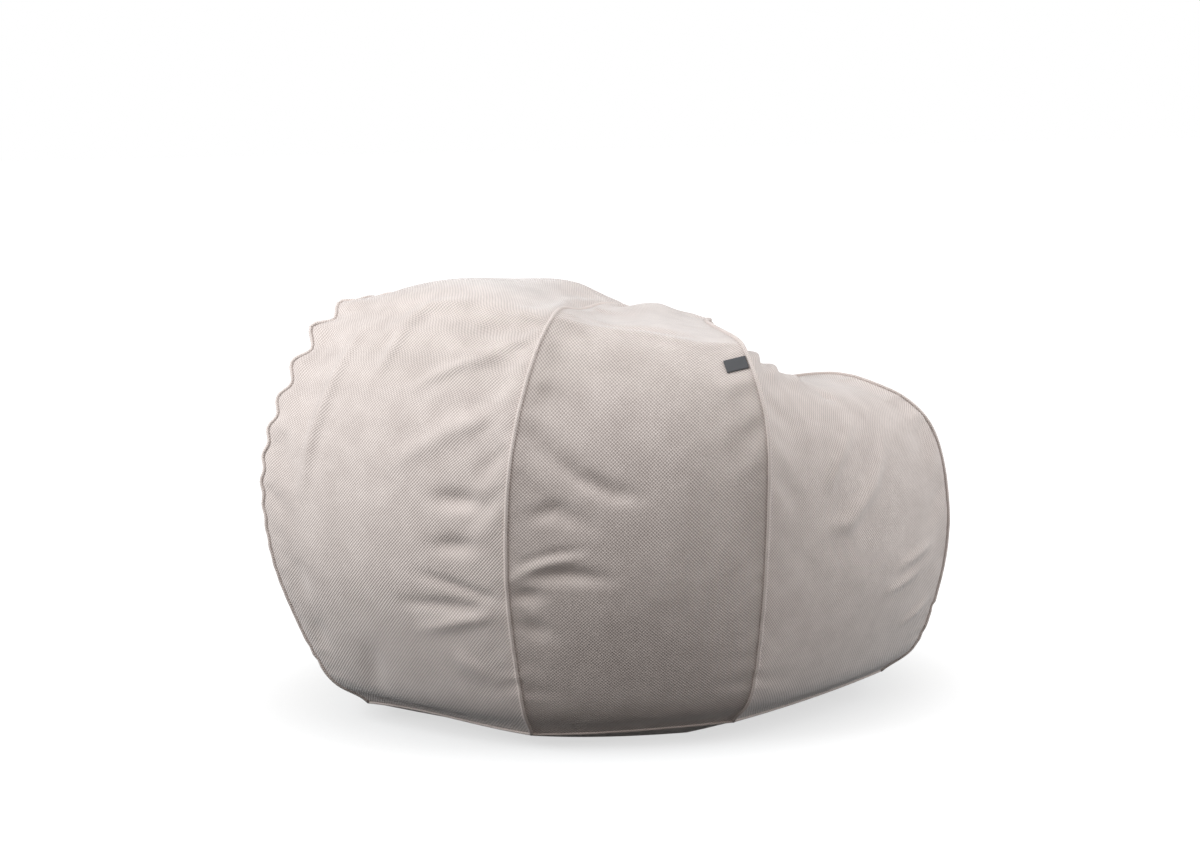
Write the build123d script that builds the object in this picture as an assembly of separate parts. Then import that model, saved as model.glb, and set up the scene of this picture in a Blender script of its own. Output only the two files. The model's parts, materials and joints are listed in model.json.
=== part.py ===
from build123d import *
import os
from collections import namedtuple
from math import cos, radians, sin

# A bean bag chair: eight sewn cover panels round a bead-filled liner, with a zip under the base.
# Millimetres. +X is the chair's front, +Y the sitter's left, +Z up, and z = 0 is the floor.

# Rings of the stuffed cover from the base hem up to the top cap. Each ring is an oval with its own
# height at the front, at the sides and at the back. back_pull draws the centre back seam out into
# a spine, and crown is how far the middle of a panel stands out from the chord between its seams.
Ring = namedtuple("Ring", "front back half_width z_front z_side z_back back_pull crown")
HEM = Ring(472, -410, 372, 48, 29, 10, 0, 10)
LOW = Ring(534, -466, 430, 105, 92, 90, 22, 16)
BELLY = Ring(563, -519, 486, 240, 278, 275, 46, 26)
UPPER = Ring(512, -497, 505, 420, 480, 467, 58, 14)
SHOULDER = Ring(370, -374, 448, 480, 608, 638, 64, -10)
CREST = Ring(275, -215, 284, 456, 620, 606, 40, 4)
SLOPE = Ring(226, -20, 166, 432, 580, 550, 12, 8)
HUB = Ring(180, 110, 45, 412, 426, 440, 0, 0)
RINGS = [HEM, LOW, BELLY, UPPER, SHOULDER, CREST, SLOPE, HUB]
TOP_LEVEL = len(RINGS) - 1
SECTIONS_PER_RING = 2
PANEL_FACETS = 6

# The beads have settled unevenly: some panels swell or hollow beside the common crown, and the left
# arm has slumped. Each is given at four rings, and there is none of it at the other rings.
Uneven = namedtuple("Uneven", "upper shoulder crest slope")
BACK_RIGHT_SWELL = Uneven(10, 42, 62, 24)
BACK_LEFT_SWELL = Uneven(-4, -14, -10, 0)
REAR_SIDE_RIGHT_SWELL = Uneven(0, 4, 8, 4)
FRONT_SIDE_SWELL = Uneven(0, -16, -28, -8)
LEFT_SLUMP = Uneven(8, 36, 38, 14)

# Where the seams run, as angles from the front centre seam round to the centre back one.
FRONT_SEAM = 40
SIDE_SEAM = 91
REAR_SEAM = 132
SEAM_ANGLES = [0, FRONT_SEAM, SIDE_SEAM, REAR_SEAM, 180]
SWELLS = {
    FRONT_SEAM: FRONT_SIDE_SWELL,
    SIDE_SEAM: REAR_SIDE_RIGHT_SWELL,
    REAR_SEAM: BACK_RIGHT_SWELL,
    180: BACK_LEFT_SWELL,
    360 - SIDE_SEAM: FRONT_SIDE_SWELL,
}

# Flat patch that rests on the floor, inside the hem.
FOOT_FRONT = 350
FOOT_BACK = -372
FOOT_HALF_WIDTH = 318
FOOT_CROWN = 12

# Cloth, its seams and the slack between layers.
CLOTH = 3.0
LINER_CLOTH = 1.0
LAYER_GAP = 2.4
BEAD_GAP = 0.6
EDGE_GAP = 0.4
WELT_WIDTH = 5.0
WELT_ROOT_WIDTH = 2.2
WELT_PROUD = 3.0
WELT_DEPTH = 1.2
WELT_FLAT_FROM = 4.3
RING_WELT_WIDTH = 4.0
RING_WELT_HEIGHT = 3.0

# Folded label sewn into the right side seam.
LABEL_LEVEL = 3.72
LABEL_LENGTH = 33.0
LABEL_WIDTH = 21.0
LABEL_THICK = 1.6
LABEL_GAP = 0.8

# Zips: the one under the cover and the lighter one in the liner.
Zip = namedtuple("Zip", "rear front y pitch tooth reach row rise tape tape_width slot slider plate")
COVER_ZIP = Zip(-255, 235, 0, 6.0, 2.5, 0.9, 1.2, 2.4, 0.8, 14, 6.5, 16, 1.2)
LINER_ZIP = Zip(-200, 160, 120, 6.0, 2.5, 0.7, 1.0, 1.8, 0.6, 12, 6.0, 14, 1.0)
TOOTH_ROOT = 2.4
TOOTH_TAPER = 0.3
SLIDER_CLEAR = 0.35
SLIDER_WING = 1.0
SLIDER_POST = 2.8
STOP_LENGTH = 3.0
LINER_LIFT = 4.0


def smooth(values, level):
    """Value at any level, on a smooth curve through one value for each ring."""
    k = min(max(int(level), 0), TOP_LEVEL - 1)
    t = level - k

    def slope(i):
        if i == 0:
            return values[1] - values[0]
        if i == TOP_LEVEL:
            return values[i] - values[i - 1]
        return (values[i + 1] - values[i - 1]) / 2

    start = (2 * t**3 - 3 * t**2 + 1) * values[k] + (t**3 - 2 * t**2 + t) * slope(k)
    end = (3 * t**2 - 2 * t**3) * values[k + 1] + (t**3 - t**2) * slope(k + 1)
    return start + end


def field(name, level):
    return smooth([getattr(ring, name) for ring in RINGS], level)


def uneven(amount, level):
    return smooth([0, 0, 0, *amount, 0], level)


def panel_crown(near, level):
    """How far a panel's middle stands out, the panel being named by its first seam's angle."""
    own = uneven(SWELLS[near], level) if near in SWELLS else 0
    return field("crown", level) + own


def seam_point(angle, level):
    """Point of the cover at a seam's angle, from 0 to 180 on the sitter's right."""
    c, s = cos(radians(angle)), sin(radians(angle))
    front, back = field("front", level), field("back", level)
    z_front, z_back = field("z_front", level), field("z_back", level)
    z_side = field("z_side", level)
    spine = field("back_pull", level) * max(-c, 0) ** 6
    x = (front + back) / 2 + (front - back) / 2 * c - spine
    y = -field("half_width", level) * s
    z = z_side + (z_front - z_back) / 2 * c + ((z_front + z_back) / 2 - z_side) * c * c
    return Vector(x, y, z - uneven(LEFT_SLUMP, level) * max(-s, 0))


def end_normal(level):
    """Upward normal of the plane that the hem or the cap opening lies in."""
    front, back = seam_point(0, level), seam_point(180, level)
    return (front - back).cross(Vector(0, 1, 0)).normalized()


def up_the_seam(angle, level):
    step = 0.05
    low, high = max(level - step, 0), min(level + step, TOP_LEVEL)
    return (seam_point(angle, high) - seam_point(angle, low)).normalized()


def panel_normal(near, far, level):
    """Outward normal at the middle of the panel between two seam angles."""
    chord = seam_point(far, level) - seam_point(near, level)
    rise = up_the_seam(near, level) + up_the_seam(far, level)
    return (chord.cross(rise) * -1).normalized()


def crown_direction(near, far, level):
    """Way in which a panel's middle stands out: square to it, but along the plane at its ends."""
    free = min(level, TOP_LEVEL - level, 1)
    end = 0 if level < TOP_LEVEL / 2 else TOP_LEVEL
    chord = seam_point(far, level) - seam_point(near, level)
    along_end = (chord.cross(end_normal(end)) * -1).normalized()
    if end:
        along_end = along_end * -1
    return (panel_normal(near, far, level) * free + along_end * (1 - free)).normalized()


def panel_middle(near, far, level):
    chord_middle = (seam_point(near, level) + seam_point(far, level)) / 2
    return chord_middle + crown_direction(near, far, level) * panel_crown(near, level)


def bowed(start, middle, end):
    """Shallow parabola from start to end through middle."""
    return Edge.make_bezier(start, middle * 2 - (start + end) / 2, end)


def along_bow(start, middle, end, count):
    """Points on the parabola from start to end through middle, evenly spaced."""
    rise = middle - (start + end) / 2
    shares = [i / count for i in range(count + 1)]
    return [start * (1 - w) + end * w + rise * (4 * w * (1 - w)) for w in shares]


def bowed_loop(corners, middles):
    count = len(corners)
    edges = [bowed(corners[i], middles[i], corners[(i + 1) % count]) for i in range(count)]
    return Wire(edges)


def flat(loop):
    return Face(Wire.make_polygon(loop, close=True))


def walls(rows, closed=True):
    """Flat triangles between rows of points, each row a closed loop or an open line."""
    faces = []
    for low, high in zip(rows, rows[1:]):
        for i in range(len(low) if closed else len(low) - 1):
            j = (i + 1) % len(low)
            faces += [flat((low[i], low[j], high[j])), flat((low[i], high[j], high[i]))]
    return faces


def levels(first, last):
    count = TOP_LEVEL * SECTIONS_PER_RING
    return [first + (last - first) * i / count for i in range(count + 1)]


def level_of(gap, angle, level, step):
    """Level that lies a gap away along the seam from an end of it."""
    travel = (seam_point(angle, level + step) - seam_point(angle, level)).length
    return level + step * gap / travel


HALF_WELT = WELT_WIDTH / 2 + 1.5 * EDGE_GAP
RING_GAP = RING_WELT_WIDTH / 2 + 3 * EDGE_GAP
FULL_CIRCLE = SEAM_ANGLES + [360 - a for a in reversed(SEAM_ANGLES[1:-1])]
PANELS = list(zip(FULL_CIRCLE, FULL_CIRCLE[1:] + [360]))


def seam_levels(*angles):
    """Levels from the hem to the cap, clear of the cords sewn round both."""
    first = max(level_of(RING_GAP, angle, 0, 0.05) for angle in angles)
    last = min(level_of(RING_GAP, angle, TOP_LEVEL, -0.05) for angle in angles)
    return levels(first, last)


def panel_row(near, far, level):
    """Corners of a panel's outer face at a level, clear of the welts at its two seams."""
    a, b = seam_point(near, level), seam_point(far, level)
    inset = (b - a).normalized() * HALF_WELT
    return along_bow(a + inset, panel_middle(near, far, level), b - inset, PANEL_FACETS)


def cover_panel(near, far):
    """One gore of cloth, from the hem to the cap, made of flats between the rings' sections."""
    outer, inner = [], []
    for level in seam_levels(near, far):
        inward = crown_direction(near, far, level) * -CLOTH
        outer.append(panel_row(near, far, level))
        inner.append([point + inward for point in outer[-1]])
    faces = walls(outer, closed=False) + walls(inner, closed=False)
    for edge in (0, -1):
        faces += walls([(out[edge], own[edge]) for out, own in zip(outer, inner)], closed=False)
        faces.append(flat(outer[edge] + inner[edge][::-1]))
    return Solid(Shell(faces))


def neighbours(angle):
    place = FULL_CIRCLE.index(angle)
    before = FULL_CIRCLE[place - 1] - (360 if place == 0 else 0)
    after = PANELS[place][1]
    return before, after


def seam_normal(angle, level):
    before, after = neighbours(angle)
    return (panel_normal(before, angle, level) + panel_normal(angle, after, level)).normalized()


def seam_welt(angle):
    """Raised welt between two panels, a strip that stands proud and narrows down in the seat."""
    loops = []
    for level in seam_levels(angle):
        point, out = seam_point(angle, level), seam_normal(angle, level)
        across = out.cross(up_the_seam(angle, level)).normalized()
        top, root = point + out * WELT_PROUD, point - out * WELT_DEPTH
        sat_on = min(max(level - WELT_FLAT_FROM, 0), 1)
        half_top = (WELT_WIDTH + (WELT_ROOT_WIDTH - WELT_WIDTH) * sat_on) / 2
        half_root = WELT_ROOT_WIDTH / 2
        upper = [top + across * half_top, top - across * half_top]
        loops.append(upper + [root - across * half_root, root + across * half_root])
    return Solid(Shell(walls(loops) + [flat(loops[0]), flat(loops[-1])]))


def end_points(level, outward=0, lift=0):
    """Corners and middles of the hem or cap loop, moved outward in its plane and lifted."""
    up = end_normal(level) * lift
    centre = (seam_point(0, level) + seam_point(180, level)) / 2
    corners = [seam_point(angle, level) for angle in FULL_CIRCLE]
    middles = [panel_middle(near, far, level) for near, far in PANELS]
    return tuple(
        [point + (point - centre).normalized() * outward + up for point in points]
        for points in (corners, middles)
    )


def facet_loop(corners, middles):
    """Points of a loop of flats: each panel's bow cut into a few straight runs."""
    points = []
    for i, corner in enumerate(corners):
        after = corners[(i + 1) % len(corners)]
        points += along_bow(corner, middles[i], after, PANEL_FACETS)[:-1]
    return points


def valley(angle, level):
    """Extra room under a seam that its panels rise from steeply: their slope times the welt's room."""
    before, after = neighbours(angle)
    slopes = [0]
    for near, far in ((before % 360, angle), (angle, after)):
        chord = (seam_point(far, level) - seam_point(near, level)).length
        slopes.append(4 * panel_crown(near, level) / chord)
    return max(slopes) * 1.5 * HALF_WELT


def inner_loop(level, depth):
    """Loop of the body at a level, drawn in by a depth from the cover's outer face."""
    corners = [
        seam_point(a, level) - seam_normal(a, level) * (depth + valley(a, level)) for a in FULL_CIRCLE
    ]
    middles = [
        panel_middle(near, far, level) - panel_normal(near, far, level) * depth for near, far in PANELS
    ]
    return facet_loop(corners, middles)


def foot_points(shrink, z):
    """Corners and middles of the flat patch on the floor, or of a layer above it."""
    centre_x = (FOOT_FRONT + FOOT_BACK) / 2
    half_length = (FOOT_FRONT - FOOT_BACK) / 2 - shrink
    half_width = FOOT_HALF_WIDTH - shrink
    corners = []
    for angle in FULL_CIRCLE:
        c, s = cos(radians(angle)), sin(radians(angle))
        corners.append(Vector(centre_x + half_length * c, -half_width * s, z))
    middles = []
    for i, corner in enumerate(corners):
        after = corners[(i + 1) % len(corners)]
        outward = (after - corner).cross(Vector(0, 0, 1)).normalized() * -FOOT_CROWN
        middles.append((corner + after) / 2 + outward)
    return corners, middles


def dish(outer_foot, outer_rim, inner_rim, inner_foot):
    """Shallow dish of cloth, each of its edges given as corners and middles."""
    edges = [facet_loop(*edge) for edge in (outer_foot, outer_rim, inner_rim, inner_foot)]
    foot, rim, rim_inside, foot_inside = edges
    faces = walls([foot, rim]) + walls([foot_inside, rim_inside]) + walls([rim, rim_inside])
    return Solid(Shell(faces + [flat(foot), flat(foot_inside)]))


def body_loops(depth, hem_lift):
    """Loops of what is inside the cover, from the hem plane to the cap, drawn in by a depth."""
    hem = facet_loop(*end_points(0, -0.7 * depth, hem_lift))
    cap = facet_loop(*end_points(TOP_LEVEL, 1.2 * depth, -1.5 * depth))
    return [hem] + [inner_loop(level, depth) for level in levels(0, TOP_LEVEL)[1:-1]] + [cap]


def box_between(low, high):
    size = Vector(*high) - Vector(*low)
    centre = (Vector(*high) + Vector(*low)) / 2
    return Pos(*centre) * Box(*size)


FAR = 1000.0
LINER_DEPTH = CLOTH + LAYER_GAP
FILL_DEPTH = LINER_DEPTH + LINER_CLOTH + BEAD_GAP
COVER_ZIP_Z = CLOTH + COVER_ZIP.tape / 2
LINER_FLOOR = CLOTH + LINER_LIFT
LINER_ZIP_Z = LINER_FLOOR + LINER_CLOTH + LINER_ZIP.tape / 2
FILL_FLOOR = LINER_FLOOR + LINER_CLOTH + BEAD_GAP


def zip_slot(spec):
    """Gap in a base panel that the zip closes."""
    return box_between((spec.rear, spec.y - spec.slot, -FAR), (spec.front, spec.y + spec.slot, FAR))


def base_dish():
    """Cover's base: a flat patch on the floor with sides that rise to the hem."""
    drop, inset = RING_GAP * 0.5, RING_GAP * 0.8
    return dish(
        foot_points(0, 0),
        end_points(0, -inset, -drop),
        end_points(0, -inset - CLOTH * 0.5, CLOTH - drop),
        foot_points(CLOTH * 0.5, CLOTH),
    )


def base_panel(side):
    """Half of the base, on the sitter's right (side -1) or left (side 1) of the zip."""
    half = box_between((-FAR, min(side * FAR, side * EDGE_GAP / 2), -FAR),
                       (FAR, max(side * FAR, side * EDGE_GAP / 2), FAR))
    return (base_dish() & half) - zip_slot(COVER_ZIP)


def ring_welt(level):
    """Flat cord sewn round the hem or the cap opening."""
    half, drop = RING_WELT_WIDTH / 2, RING_WELT_HEIGHT / 2
    outer = Face(bowed_loop(*end_points(level, half, -drop)))
    inner = Face(bowed_loop(*end_points(level, -half, -drop)))
    up = end_normal(level) * RING_WELT_HEIGHT
    return Solid.extrude(outer, up) - Solid.extrude(inner, up)


def top_cap():
    """Small round of cloth that closes the top where the panels meet."""
    inset = RING_WELT_WIDTH / 2 + EDGE_GAP
    face = Face(bowed_loop(*end_points(TOP_LEVEL, -inset, -CLOTH / 2)))
    return Solid.extrude(face, end_normal(TOP_LEVEL) * CLOTH)


def zip_tape(spec, z, side):
    inner, outer = TOOTH_ROOT + spec.row, TOOTH_ROOT + spec.row + spec.tape_width
    low, high = sorted((spec.y + side * inner, spec.y + side * outer))
    return box_between((spec.rear, low, z - spec.tape / 2), (spec.front, high, z + spec.tape / 2))


def teeth_front(spec):
    """Where the teeth end, just behind the slider's post when the zip is shut."""
    return spec.front - STOP_LENGTH - spec.slider * 0.5


def zip_teeth(spec, z, side):
    """Row of teeth on a common root, set half a pitch from the row that it meshes with."""
    start = spec.rear + STOP_LENGTH + EDGE_GAP
    end = teeth_front(spec)
    offset = 0 if side > 0 else spec.pitch / 2
    count = int((end - start - offset - spec.tooth) / spec.pitch) + 1
    back, root = TOOTH_ROOT + spec.row, TOOTH_ROOT
    outline = [(start, back), (start, root)]
    for i in range(count):
        x = start + offset + i * spec.pitch + EDGE_GAP / 4
        outline.append((x, root))
        outline.append((x + TOOTH_TAPER, -spec.reach))
        outline.append((x + spec.tooth - TOOTH_TAPER, -spec.reach))
        outline.append((x + spec.tooth, root))
    outline += [(end, root), (end, back)]
    points = []
    for x, y in outline:
        point = Vector(x, spec.y + side * y, z - spec.rise / 2)
        if not points or (point - points[-1]).length > 0.01:
            points.append(point)
    return Solid.extrude(Face(Wire.make_polygon(points, close=True)), Vector(0, 0, spec.rise))


def zip_slider(spec, z):
    """Flat slider with no pull: two plates on a post, with wings that keep the rows together."""
    front, rear = spec.front - STOP_LENGTH - EDGE_GAP, spec.front - STOP_LENGTH - spec.slider
    half = TOOTH_ROOT + spec.row + SLIDER_CLEAR + SLIDER_WING
    channel = spec.rise / 2 + SLIDER_CLEAR
    tape = spec.tape / 2 + SLIDER_CLEAR
    corner = SLIDER_WING
    outline = RectangleRounded(front - rear, 2 * half, corner)
    middle = (front + rear) / 2
    slider = Pos(middle, spec.y, z + channel) * extrude(outline, spec.plate)
    slider += Pos(middle, spec.y, z - channel - spec.plate) * extrude(outline, spec.plate)
    for side in (-1, 1):
        inner, outer = sorted((spec.y + side * (half - SLIDER_WING), spec.y + side * half))
        run = (rear + corner, front - corner)
        slider += box_between((run[0], inner, z + tape), (run[1], outer, z + channel))
        slider += box_between((run[0], inner, z - channel), (run[1], outer, z - tape))
    post_middle = front - SLIDER_POST
    wide = SLIDER_POST / 2
    diamond = Polygon((SLIDER_POST, 0), (0, wide), (-SLIDER_POST, 0), (0, -wide), align=None)
    return slider + Pos(post_middle, spec.y, z - channel) * extrude(diamond, 2 * channel)


def zip_stops(spec, z):
    """Crimped blocks across the tapes that end the slider's travel."""
    half = TOOTH_ROOT + spec.row
    lift = spec.rise / 2
    rear, front = (
        box_between((x, spec.y - half, z - lift), (x + STOP_LENGTH, spec.y + half, z + lift))
        for x in (spec.rear, spec.front - STOP_LENGTH)
    )
    return rear + front


def liner_body():
    """Liner's upper part: the cover's shape again, a layer further in and open at the hem."""
    outer, inner = (body_loops(LINER_DEPTH + inset, LINER_DEPTH) for inset in (0, LINER_CLOTH))
    faces = walls(outer) + walls(inner) + walls([outer[0], inner[0]])
    return Solid(Shell(faces + [flat(outer[-1]), flat(inner[-1])]))


def liner_base():
    """Liner's own dish, slit for its zip, just under the liner body."""
    outer_foot = foot_points(LINER_DEPTH, LINER_FLOOR)
    inner_foot = foot_points(LINER_DEPTH + LINER_CLOTH, LINER_FLOOR + LINER_CLOTH)
    return dish(outer_foot, liner_rim(0), liner_rim(LINER_CLOTH), inner_foot) - zip_slot(LINER_ZIP)


def liner_rim(inset):
    return end_points(0, -0.7 * (LINER_DEPTH + inset), LINER_DEPTH - EDGE_GAP)


def bead_fill():
    """Beads, settled to the shape of the liner, with a furrow over the liner's zip."""
    foot = facet_loop(*foot_points(FILL_DEPTH, FILL_FLOOR))
    loops = [foot] + body_loops(FILL_DEPTH, FILL_DEPTH)
    heap = Solid(Shell(walls(loops) + [flat(loops[0]), flat(loops[-1])]))
    width = TOOTH_ROOT + LINER_ZIP.row + LINER_ZIP.tape_width + BEAD_GAP
    height = LINER_ZIP_Z + LINER_ZIP.rise / 2 + SLIDER_CLEAR + LINER_ZIP.plate + BEAD_GAP
    furrow = box_between(
        (LINER_ZIP.rear - BEAD_GAP, LINER_ZIP.y - width, 0),
        (LINER_ZIP.front + BEAD_GAP, LINER_ZIP.y + width, height),
    )
    return heap - furrow


def label_frame():
    """Root of the label on the rear side panel's first flat: its hinge, its lie and its axis."""
    rows = seam_levels(SIDE_SEAM, REAR_SEAM)
    below = max(i for i, level in enumerate(rows) if level <= LABEL_LEVEL)
    share = (LABEL_LEVEL - rows[below]) / (rows[below + 1] - rows[below])
    low, high = (panel_row(SIDE_SEAM, REAR_SEAM, level) for level in rows[below : below + 2])
    root, tip = (low[i] * (1 - share) + high[i] * share for i in (0, 1))
    axis = (high[0] - low[0]).normalized()
    out = (tip - root).cross(axis).normalized()
    if out.dot(panel_normal(SIDE_SEAM, REAR_SEAM, LABEL_LEVEL)) < 0:
        out = out * -1
    along = axis.cross(out).normalized()
    if along.dot(tip - root) < 0:
        along = along * -1
    hinge = root + along * LABEL_THICK + out * (LABEL_GAP + LABEL_THICK / 2)
    return hinge, along, out, axis


def label_tag():
    """Folded tag with a rounded root, lying on the rear side panel."""
    hinge, along, out, axis = label_frame()
    plane = Plane(origin=hinge, x_dir=along, z_dir=axis)
    half = LABEL_THICK / 2
    profile = Rectangle(LABEL_LENGTH, LABEL_THICK, align=(Align.MIN, Align.CENTER)) + Circle(half)
    return plane * (Pos(0, 0, -LABEL_WIDTH / 2) * extrude(profile, LABEL_WIDTH))


PANEL_NAMES = ["front", "front_side", "rear_side", "back"]
WELT_NAMES = {FRONT_SEAM: "front", SIDE_SEAM: "side", REAR_SEAM: "rear"}


def all_nodes():
    nodes = {}
    for i, (near, far) in enumerate(PANELS):
        hand, name = ("right", PANEL_NAMES[i]) if i < 4 else ("left", PANEL_NAMES[7 - i])
        nodes[f"cover_panel_{name}_{hand}"] = cover_panel(near, far)
    nodes["seam_welt_front_centre"] = seam_welt(0)
    nodes["seam_welt_back_centre"] = seam_welt(180)
    for angle, name in WELT_NAMES.items():
        nodes[f"seam_welt_{name}_right"] = seam_welt(angle)
        nodes[f"seam_welt_{name}_left"] = seam_welt(360 - angle)
    nodes["base_panel_right"] = base_panel(-1)
    nodes["base_panel_left"] = base_panel(1)
    nodes["hem_welt"] = ring_welt(0)
    nodes["top_cap"] = top_cap()
    nodes["cap_welt"] = ring_welt(TOP_LEVEL)
    nodes["label_tag"] = label_tag()
    zips = {"cover_zip": (COVER_ZIP, COVER_ZIP_Z), "liner_zip": (LINER_ZIP, LINER_ZIP_Z)}
    for prefix, (spec, z) in zips.items():
        for side, hand in ((-1, "right"), (1, "left")):
            nodes[f"{prefix}_tape_{hand}"] = zip_tape(spec, z, side)
            nodes[f"{prefix}_teeth_{hand}"] = zip_teeth(spec, z, side)
        nodes[f"{prefix}_slider"] = zip_slider(spec, z)
        nodes[f"{prefix}_stops"] = zip_stops(spec, z)
    nodes["liner_body"] = liner_body()
    nodes["liner_base"] = liner_base()
    nodes["bead_fill"] = bead_fill()
    return nodes


os.makedirs("parts", exist_ok=True)
assembly = all_nodes()
boxes = [solid.bounding_box() for solid in assembly.values()]
to_centre = Pos(-(min(b.min.X for b in boxes) + max(b.max.X for b in boxes)) / 2, 0, 0)
for node, solid in assembly.items():
    export_step(to_centre * solid, f"parts/{node}.step")
hinge, _, _, axis = label_frame()
print("moved along X by", to_centre.position.X)
print("label hinge", tuple(hinge + to_centre.position), "axis", tuple(axis))
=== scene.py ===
# %% [markdown]
# # A bean bag chair
# The real chair is a sewn cover of eight long panels, stuffed with loose beads until it stands by
# itself. A seat has been pressed into its top, so its front is low and its back stands up.
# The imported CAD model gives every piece's place. This script loads it, then makes the cloth that a
# CAD solid can't show: slack, puckers, raised seams and the weave.

import json

import bmesh
import bpy
import numpy as np
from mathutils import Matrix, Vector

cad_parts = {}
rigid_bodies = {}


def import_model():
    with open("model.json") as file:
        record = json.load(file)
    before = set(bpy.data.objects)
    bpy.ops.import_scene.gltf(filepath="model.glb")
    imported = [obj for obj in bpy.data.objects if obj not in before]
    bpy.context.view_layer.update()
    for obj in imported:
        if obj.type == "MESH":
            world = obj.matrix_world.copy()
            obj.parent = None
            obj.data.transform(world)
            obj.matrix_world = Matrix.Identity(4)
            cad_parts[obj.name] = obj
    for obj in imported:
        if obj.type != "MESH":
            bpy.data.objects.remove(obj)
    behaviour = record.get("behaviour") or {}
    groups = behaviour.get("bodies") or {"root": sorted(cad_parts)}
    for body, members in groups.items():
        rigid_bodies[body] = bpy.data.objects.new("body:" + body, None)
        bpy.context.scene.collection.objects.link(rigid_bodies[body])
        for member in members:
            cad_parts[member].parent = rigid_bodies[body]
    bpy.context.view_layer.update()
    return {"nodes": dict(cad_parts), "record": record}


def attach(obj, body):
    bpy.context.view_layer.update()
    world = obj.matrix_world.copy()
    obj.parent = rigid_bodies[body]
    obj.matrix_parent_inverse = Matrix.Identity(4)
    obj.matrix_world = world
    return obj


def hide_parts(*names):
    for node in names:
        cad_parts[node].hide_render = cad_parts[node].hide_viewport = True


for leftover in list(bpy.data.objects):
    bpy.data.objects.remove(leftover)
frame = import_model()

# %% [markdown]
# ## Camera
# The picture is taken from behind the chair's right arm, a little above the seat. A short lens close
# by would swell the near side, so a long lens from four and a half metres keeps the bag's proportions.
# The camera looks a little above the bag, because the bag stands low in the picture.

# %% Camera
AZIMUTH, ELEVATION, DISTANCE = np.radians(-27.0), np.radians(13.3), 4.5
# One pixel in metres at the bag's middle, the picture's size, and where the origin stands in it.
PIXEL = 0.001618
PICTURE_WIDTH, PICTURE_HEIGHT = 1200, 857
ORIGIN_ACROSS, ORIGIN_DOWN = 606, 690
toward_camera = np.array(
    [np.sin(AZIMUTH) * np.cos(ELEVATION), -np.cos(AZIMUTH) * np.cos(ELEVATION), np.sin(ELEVATION)]
)
to_right = np.array([np.cos(AZIMUTH), np.sin(AZIMUTH), 0.0])
upward = np.cross(toward_camera, to_right)
CENTRE_SHIFT = 0.0046
ahead = np.array([CENTRE_SHIFT, 0.0, 0.0])
aim = ahead + upward * (ORIGIN_DOWN - PICTURE_HEIGHT / 2) * PIXEL
aim = aim - to_right * (ORIGIN_ACROSS - PICTURE_WIDTH / 2) * PIXEL
camera_data = bpy.data.cameras.new("camera")
camera_data.lens = camera_data.sensor_width * DISTANCE / PIXEL / PICTURE_WIDTH
camera = bpy.data.objects.new("camera", camera_data)
bpy.context.scene.collection.objects.link(camera)
camera.location = ahead + toward_camera * DISTANCE
camera.rotation_euler = Vector(aim - ahead - toward_camera * DISTANCE).to_track_quat("-Z", "Y").to_euler()
bpy.context.scene.camera = camera
print("lens", round(camera_data.lens, 1), "mm")

# %% [markdown]
# ## The stuffed shape
# A stuffed bag could be sculpted, but its shape follows from how it is sewn, and numbers can be read
# and changed later. Eight ovals, from the hem at the bottom to the small cap in the seat, say how wide
# and how high the bag is there.

# %% Ovals of the bag
# One value per oval: hem, low, belly, upper, shoulder, crest, slope of the seat, cap. Millimetres.
OVALS = {
    "front": [472, 534, 563, 512, 370, 275, 226, 180],
    "back": [-410, -466, -519, -497, -374, -215, -20, 110],
    "half": [372, 430, 486, 505, 448, 284, 166, 45],
    "z_front": [48, 105, 240, 420, 480, 456, 432, 412],
    "z_side": [29, 92, 278, 480, 608, 620, 580, 426],
    "z_back": [10, 90, 275, 467, 638, 606, 550, 440],
    "spine": [0, 22, 46, 58, 64, 40, 12, 0],
    "crown": [10, 16, 26, 14, -10, 4, 8, 0],
    "slump": [0, 0, 0, 8, 36, 38, 14, 0],
}
# The beads have settled unevenly, so some panels swell or hollow beside the common crown. Panels are
# numbered from the right front one round the right side, the back and the left side.
SWELLS = {
    1: [0, 0, 0, 0, -16, -28, -8, 0],
    2: [0, 0, 0, 0, 4, 8, 4, 0],
    3: [0, 0, 0, 10, 42, 62, 24, 0],
    4: [0, 0, 0, -4, -14, -10, 0, 0],
    6: [0, 0, 0, 0, -16, -28, -8, 0],
}
SEAMS = np.radians([0, 40, 91, 132, 180, 228, 269, 320])
TOP = 7
print(len(OVALS["front"]), "ovals and", len(SEAMS), "seams")

# %% [markdown]
# ## Seams
# Each seam runs from the hem up over the crest and down into the seat. Straight lines from oval to oval
# would leave corners, so a cubic goes through them: it keeps every value and stays smooth.

# %% Seam lines
def curve(values, level):
    """Smooth curve in metres through one value per oval: a cubic with each oval's slope taken from the
    two beside it, so at a level between ovals k and k+1 it is a blend of their values and slopes."""
    v = np.array(values) / 1000
    slope = np.gradient(v)
    k = np.clip(level.astype(int), 0, TOP - 1)
    t = level - k
    start = (2 * t**3 - 3 * t**2 + 1) * v[k] + (t**3 - 2 * t**2 + t) * slope[k]
    return start + (3 * t**2 - 2 * t**3) * v[k + 1] + (t**3 - t**2) * slope[k + 1]


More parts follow.
